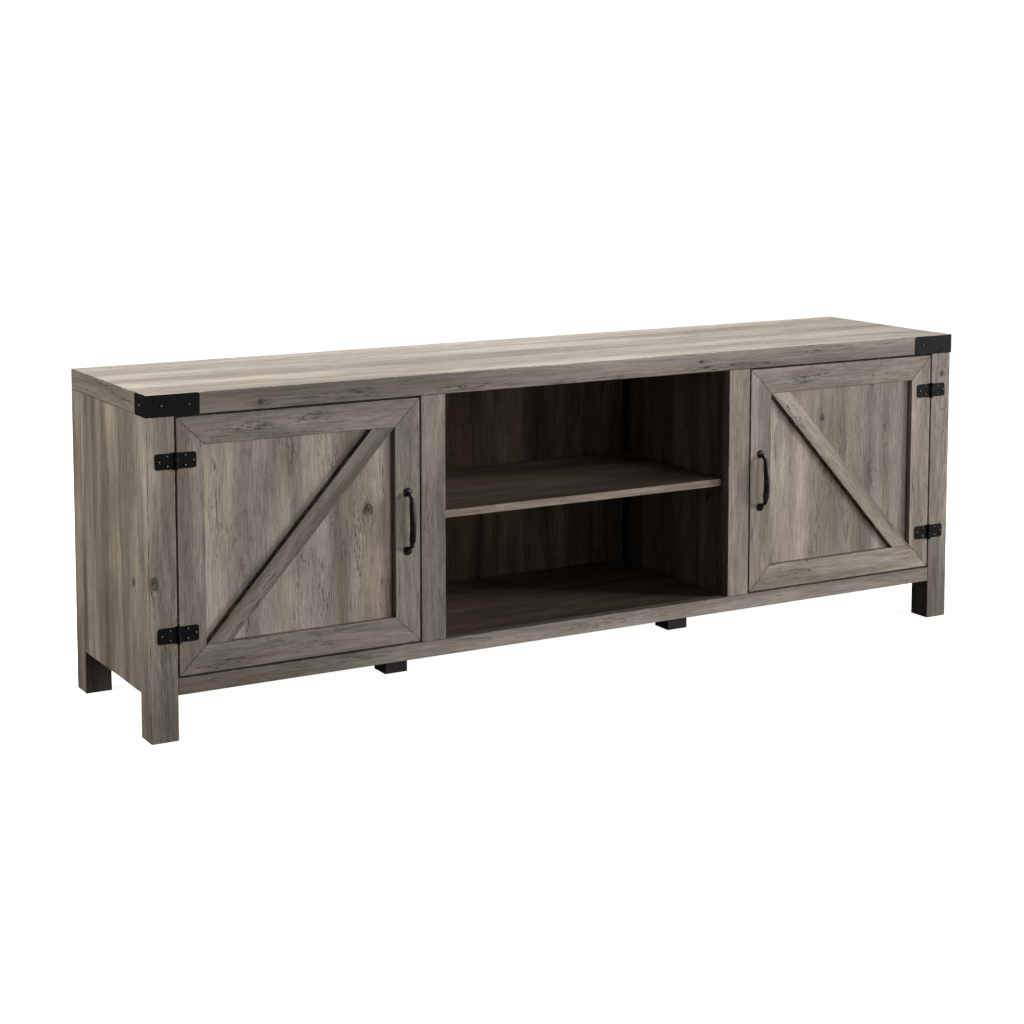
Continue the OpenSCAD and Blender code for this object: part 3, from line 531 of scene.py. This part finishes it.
# ---- Corner brackets -----------------------------------------------------------------------------
# Sheet-iron angles folded round the top's front corners and powder-coated satin black, each held
# by domed screws.
def black_iron(name, colour, rough, grain, sheen):
    """Powder-coated iron: a fine pebbled skin, with a painted highlight of grey along its edges."""
    iron = Finish(name, Specular_IOR_Level=sheen)
    at = iron.place()
    nx, ny, nz = [abs(n) for n in iron.facing()]
    pebble = iron.cloud(at, (grain, grain, grain), 2.0, 3.0, 0.6)
    bloom = iron.ease(iron.cloud(at, (85.0, 85.0, 85.0), 6.0, 3.0, 0.6), 0.4, 0.7)
    # The edges are painted grey and half metallic: a painted highlight.
    turn = 1 - iron.sum_of("MAXIMUM", nx, iron.sum_of("MAXIMUM", ny, nz))
    wear_and_highlight = iron.ease(turn, 0.02, 0.14) * iron.ease(bloom, 0.1, 0.8)
    base = iron.blend(bloom * 0.6, colour, [c * 1.7 + 0.002 for c in colour])
    base = iron.blend(wear_and_highlight * 0.55, base, (0.110, 0.105, 0.100))
    worn = rough + bloom * 0.12 - wear_and_highlight * 0.08
    iron.paint(Base_Color=base, Metallic=wear_and_highlight * 0.4, Roughness=worn)
    iron.relief(pebble, 0.00012)
    return iron.material


FOLD_ARRIS = 0.0004
satin_black = black_iron("satin_black_iron", (0.0050, 0.0050, 0.0054),
                         rough=0.46, grain=700.0, sheen=0.10)
for bracket in ("corner_bracket_left", "corner_bracket_right"):
    eased(bracket, "folded_" + bracket, satin_black, FOLD_ARRIS)
screw_black = black_iron("gloss_black_iron", (0.0070, 0.0070, 0.0076),
                         rough=0.20, grain=900.0, sheen=0.8)
refinish("wood_screws", screw_black)


# ---- Hinges --------------------------------------------------------------------------------------
# Surface hinges of sheet iron: one leaf on the leg, one on the door, and a pin through the barrel.
LEAF_ARRIS = 0.0003
for leaf in ("leg_leaf_left_top", "leg_leaf_left_bottom", "leg_leaf_right_top",
             "leg_leaf_right_bottom"):
    eased(leaf, "pressed_" + leaf, satin_black, LEAF_ARRIS)
for side in ("left", "right"):
    for height in ("top", "bottom"):
        leaf = side + "_leaf_" + height
        eased(leaf, "pressed_" + leaf, satin_black, LEAF_ARRIS, side + "_door")
    refinish(side + "_hinge_screws", screw_black)
refinish("hinge_pins", satin_black)


# ---- Doors ---------------------------------------------------------------------------------------
# Each door is a mitred frame round a thin panel, with a brace from the hinge side's bottom corner
# to the handle side's top corner. Frame, panel and brace are foiled board, glued up. The panel's
# foil is calmer than the frame's, and the top rail's shows the marks of a saw.
BRACE_RISE = 0.350
BRACE_RUN = 0.319
BRACE_LEAN = math.degrees(math.atan2(BRACE_RISE, BRACE_RUN))
PANEL_FACE = -0.175
DOOR_ARRIS = 0.001
SEED_STEP = 3.0
door_knots = {
    "left_panel": [((-0.469, PANEL_FACE, 0.364), 0.0085)],
    "right_panel": [((0.560, PANEL_FACE, 0.452), 0.0055)],
}
door_smears = {
    "left_top_rail": [((-0.705, FACE, 0.538), 0.075, 0.012),
                      ((-0.590, FACE, 0.545), 0.060, 0.012)],
    "left_panel": [((-0.486, PANEL_FACE, 0.310), 0.130, 0.014),
                   ((-0.560, PANEL_FACE, 0.230), 0.090, 0.016),
                   ((-0.535, PANEL_FACE, 0.440), 0.060, 0.014)],
    "left_brace": [((-0.700, FACE, 0.220), 0.090, 0.014)],
    "right_top_rail": [((0.520, FACE, 0.535), 0.070, 0.014)],
    "right_brace": [((0.470, FACE, 0.455), 0.090, 0.030),
                    ((0.560, FACE, 0.345), 0.110, 0.026)],
    "right_bottom_rail": [((0.505, FACE, 0.140), 0.030, 0.010)],
    "right_panel": [((0.690, PANEL_FACE, 0.330), 0.050, 0.016),
                    ((0.600, PANEL_FACE, 0.360), 0.070, 0.012)],
}
door_tone_patches = {
    "left_panel": [((-0.470, PANEL_FACE, 0.350), 0.22, 0.055, 0.30),
                   ((-0.590, PANEL_FACE, 0.160), 0.16, 0.050, 0.14)],
    "right_panel": [((0.480, PANEL_FACE, 0.330), 0.20, 0.040, 0.16),
                    ((0.640, PANEL_FACE, 0.220), 0.14, 0.060, -0.25)],
    "left_bottom_rail": [((-0.600, FACE, 0.140), 0.20, 0.040, 0.25)],
}
door_levels = {
    "left_top_rail": 0.84, "left_bottom_rail": 0.96, "left_hinge_stile": 0.92,
    "left_handle_stile": 0.90, "left_brace": 0.75, "left_panel": 1.12, "right_top_rail": 0.92,
    "right_brace": 1.06,
}
for side, body, seed, brace_lean in (("left", "left_door", 62.0, BRACE_LEAN),
                                     ("right", "right_door", 86.0, 180 - BRACE_LEAN)):
    members = (("hinge_stile", UPRIGHT, 0.0, 1.0), ("handle_stile", UPRIGHT, 0.0, 1.0),
               ("top_rail", LENGTHWISE, 0.20, 1.0), ("bottom_rail", LENGTHWISE, 0.0, 1.0),
               ("panel", UPRIGHT, 0.0, 0.55), ("brace", brace_lean, 0.0, 1.0))
    for step, (member, lean, saw, figured) in enumerate(members):
        node = side + "_" + member
        finish = grey_oak("oak_" + node, lean, seed + SEED_STEP * step, depth=1.15, speckle=0.8,
                          level=door_levels.get(node, 1.0), figured=figured, saw=saw,
                          knots=door_knots.get(node, ()), smears=door_smears.get(node, ()),
                          shade_and_tone_patches=door_tone_patches.get(node, ()))
        eased(node, "foiled_" + node, finish, DOOR_ARRIS, body)


# ---- Handles, catches and strikes ----------------------------------------------------------------
# Bowed pulls of cast iron on two round feet, screwed from inside, and a magnetic catch that holds a
# steel disc in the back of each door.
bronze_black = black_iron("bronze_black_iron", (0.0100, 0.0082, 0.0072),
                          rough=0.36, grain=420.0, sheen=0.4)
for side in ("left", "right"):
    refinish(side + "_handle", bronze_black)
    refinish(side + "_handle_screws", zinc_plate)
    refinish(side + "_strike", zinc_plate)
catch_case = moulded_plastic("catch_case", (0.030, 0.028, 0.027), rough=0.38)
refinish("door_catches", catch_case)


# ---- Room ----------------------------------------------------------------------------------------
# A plain pale floor that bends up into a wall all round, one large soft light low at the right, a
# soft box overhead, a weaker one at the left end and a broad fill from the front.
def sweep():
    """The paper sweep: a round floor that bends up into a wall all the way round."""
    radius = 14.0
    bend = 3.0
    wall_top = 12.0
    bend_steps = 12
    sides = 96
    profile = []
    for step in range(bend_steps + 1):
        angle = math.radians(90 * step / bend_steps)
        profile.append((radius - bend + bend * math.sin(angle), bend - bend * math.cos(angle)))
    profile.append((radius, wall_top))
    turns = [math.radians(360 * side / sides) for side in range(sides)]
    paper = bmesh.new()
    rings = [[paper.verts.new((r * math.cos(t), r * math.sin(t), z)) for t in turns]
             for r, z in profile]
    paper.faces.new(rings[0])
    for low, high in zip(rings, rings[1:]):
        for side in range(sides):
            ahead = (side + 1) % sides
            paper.faces.new((low[side], low[ahead], high[ahead], high[side])).smooth = True
    mesh = bpy.data.meshes.new("paper_sweep")
    paper.to_mesh(mesh)
    paper.free()
    piece = bpy.data.objects.new("paper_sweep", mesh)
    bpy.context.scene.collection.objects.link(piece)
    return piece


paper = Finish("pale_paper", Specular_IOR_Level=0.0, Roughness=1.0, Emission_Strength=0.94)
at = paper.place()
tooth = paper.cloud(at, (2.0, 2.0, 2.0), 1.0, 2.0)
sheet = paper.blend(tooth, (0.80, 0.80, 0.80), (0.82, 0.82, 0.82))
glow = paper.blend(tooth, (0.99, 0.99, 0.99), (1.0, 1.0, 1.0))
paper.paint(Base_Color=sheet, Emission_Color=glow)
floor = sweep()
floor.data.materials.append(paper.material)
floor.visible_diffuse = False
floor.visible_glossy = False


def soft_box(name, centre, target, size, power, tint):
    """A light that the camera doesn't see."""
    lamp = bpy.data.lights.new(name, "AREA")
    lamp.shape = "RECTANGLE"
    lamp.size, lamp.size_y = size
    lamp.energy = power
    lamp.color = tint
    light = bpy.data.objects.new(name, lamp)
    light.location = centre
    light.rotation_euler = (Vector(target) - Vector(centre)).to_track_quat("-Z", "Y").to_euler()
    light.visible_camera = False
    bpy.context.scene.collection.objects.link(light)
    return light


middle = (0.0, -0.1, 0.35)
soft_box("key_light", (6.72, -4.30, 1.16), middle,
         size=(2.4, 1.8), power=320.0, tint=(1.0, 0.98, 0.985))
soft_box("top_light", (-0.2, 0.45, 3.2), (-0.2, 0.3, 0.6),
         size=(2.8, 1.0), power=143.0, tint=(0.95, 0.97, 1.0))
soft_box("end_light", (-3.2, 0.9, 1.3), (-0.9, 0.0, 0.3),
         size=(1.2, 1.6), power=44.0, tint=(1.0, 0.955, 0.87))

# The broad fill from the front is flagged off the rear legs and the boards inside, so that the bay
# stays deep.
fill = soft_box("front_light", (2.5, -5.5, 1.2), middle,
                size=(3.0, 2.0), power=118.0, tint=(0.98, 0.965, 1.0))
lit = bpy.data.collections.new("lit_from_front")
flagged = ("floor_board", "divider", "back_panel", "joiners", "cabinet_shelf", "rear_leg")
for piece in list(bpy.context.scene.objects):
    if piece.type == "MESH" and not any(word in piece.name for word in flagged):
        lit.objects.link(piece)
fill.light_linking.receiver_collection = lit

world = bpy.data.worlds.new("studio_air")
world.use_nodes = True
air = world.node_tree.nodes["Background"]
air.inputs["Color"].default_value = (0.95, 0.97, 1.0, 1.0)
air.inputs["Strength"].default_value = 0.06
bpy.context.scene.world = world
bpy.context.scene.view_settings.view_transform = "Standard"

# The camera looks down a little, from the front left.
DOWN = 5.78
BEARING = 29.869
camera = bpy.data.objects.new("camera", bpy.data.cameras.new("camera"))
camera.location = (-2.0635, -3.4692, 1.1138)
camera.rotation_euler = (math.radians(90 - DOWN), 0.0, math.radians(-BEARING))
camera.data.sensor_width = 36.0
camera.data.lens = 72.43
camera.data.shift_y = -0.207
camera.data.clip_end = 100.0
bpy.context.scene.collection.objects.link(camera)
bpy.context.scene.camera = camera
